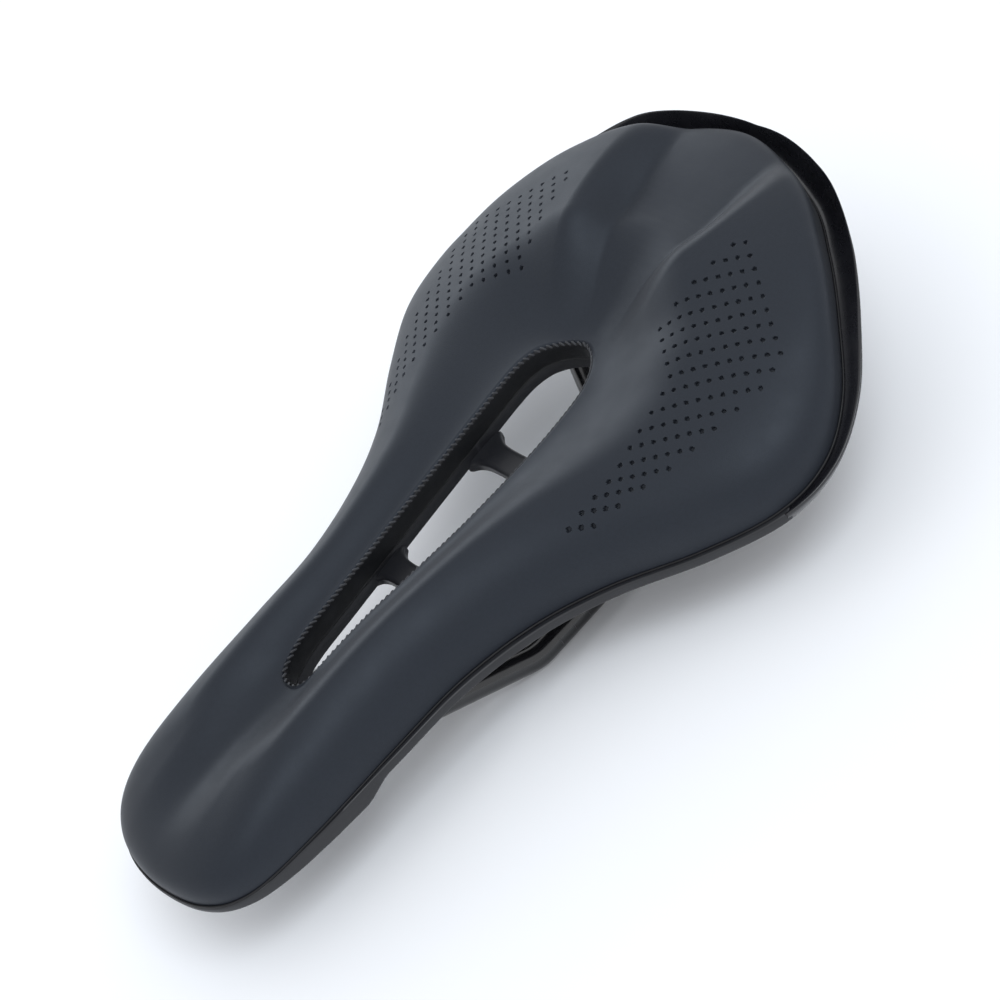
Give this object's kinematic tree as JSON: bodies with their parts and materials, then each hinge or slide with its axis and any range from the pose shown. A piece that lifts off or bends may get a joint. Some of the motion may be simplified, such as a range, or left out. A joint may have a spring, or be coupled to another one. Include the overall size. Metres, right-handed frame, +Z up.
{
  "type": "bicycle saddle",
  "caption": "Short-nosed padded bicycle saddle with a long pressure-relief opening, moulded base shell and a pair of round clamp rails.",
  "frame": {"origin": "centre of the footprint, at the underside of the rails that the saddle stands on", "axes": "+X towards the nose, +Y to the rider's left, +Z up"},
  "size_m": [0.2383, 0.1538, 0.0594],
  "materials": {
    "shell_plastic": "satin moulded nylon, fine grain",
    "foam": "moulded polyurethane foam",
    "gel": "soft gel insert",
    "cover_leather": "matte synthetic leather, perforated over the wings",
    "liner_leather": "black synthetic leather strip",
    "thread": "grey sewing thread",
    "bead_rubber": "thin edge cord",
    "bumper_plastic": "glossy black moulding",
    "screw_steel": "dark oxide steel",
    "rail_steel": "satin black coated steel",
    "cap_rubber": "rubber plug",
    "block_plastic": "moulded nylon",
    "sleeve_rubber": "damping rubber",
    "insert_brass": "plain brass"
  },
  "bodies": {
    "root": {"base_shell": "shell_plastic", "foam_pad": "foam", "gel_pad_left": "gel", "gel_pad_right": "gel", "cover": "cover_leather", "cutout_liner": "liner_leather", "cutout_thread": "thread", "edge_bead": "bead_rubber", "tail_bumper": "bumper_plastic", "tail_bumper_screws": "screw_steel", "rail_left": "rail_steel", "rail_right": "rail_steel", "rail_end_caps": "cap_rubber", "nose_block": "block_plastic", "nose_sleeves": "sleeve_rubber", "nose_block_screws": "screw_steel", "rear_block_left": "block_plastic", "rear_block_right": "block_plastic", "rear_sleeve_left": "sleeve_rubber", "rear_sleeve_right": "sleeve_rubber", "rear_block_screws": "screw_steel", "screw_inserts": "insert_brass"}
  },
  "joints": []
}
